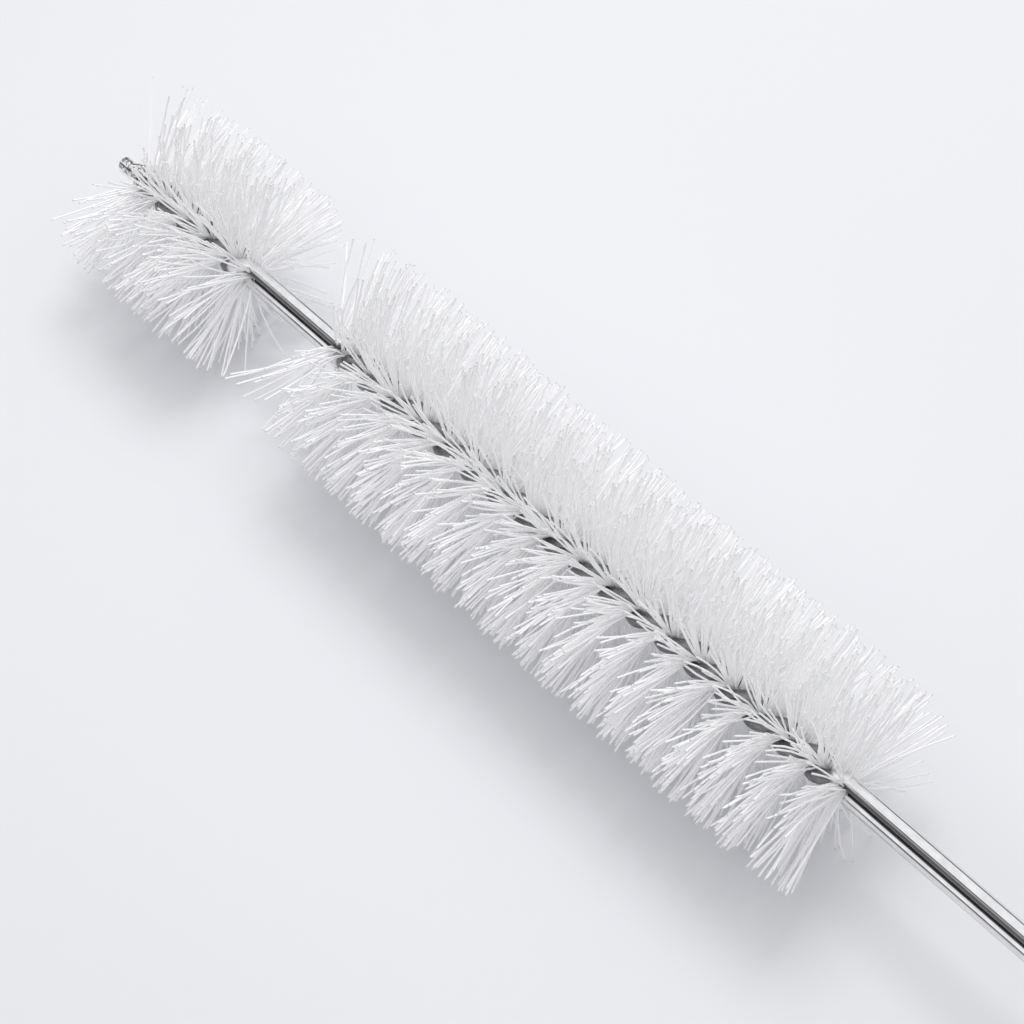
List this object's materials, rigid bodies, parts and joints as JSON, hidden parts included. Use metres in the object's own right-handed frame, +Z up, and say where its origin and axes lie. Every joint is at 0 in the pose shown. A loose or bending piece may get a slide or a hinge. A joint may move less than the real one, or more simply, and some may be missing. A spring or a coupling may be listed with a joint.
{
  "type": "bottle brush",
  "caption": "Bottle brush lying on its bristles: doubled steel wire with a hanging loop, twisted through a long and a short head of nylon bristles.",
  "frame": {"origin": "on the table, under the middle of the brush's box", "axes": "+X along the stem from the tip to the hanging loop, +Z up from the table"},
  "size_m": [0.3886, 0.048, 0.0472],
  "materials": {
    "steel": "bright drawn stainless wire",
    "nylon": "clear white nylon filament"
  },
  "bodies": {
    "root": {"wire_stem": "steel", "main_bristles": "nylon", "tip_bristles": "nylon"}
  },
  "joints": []
}
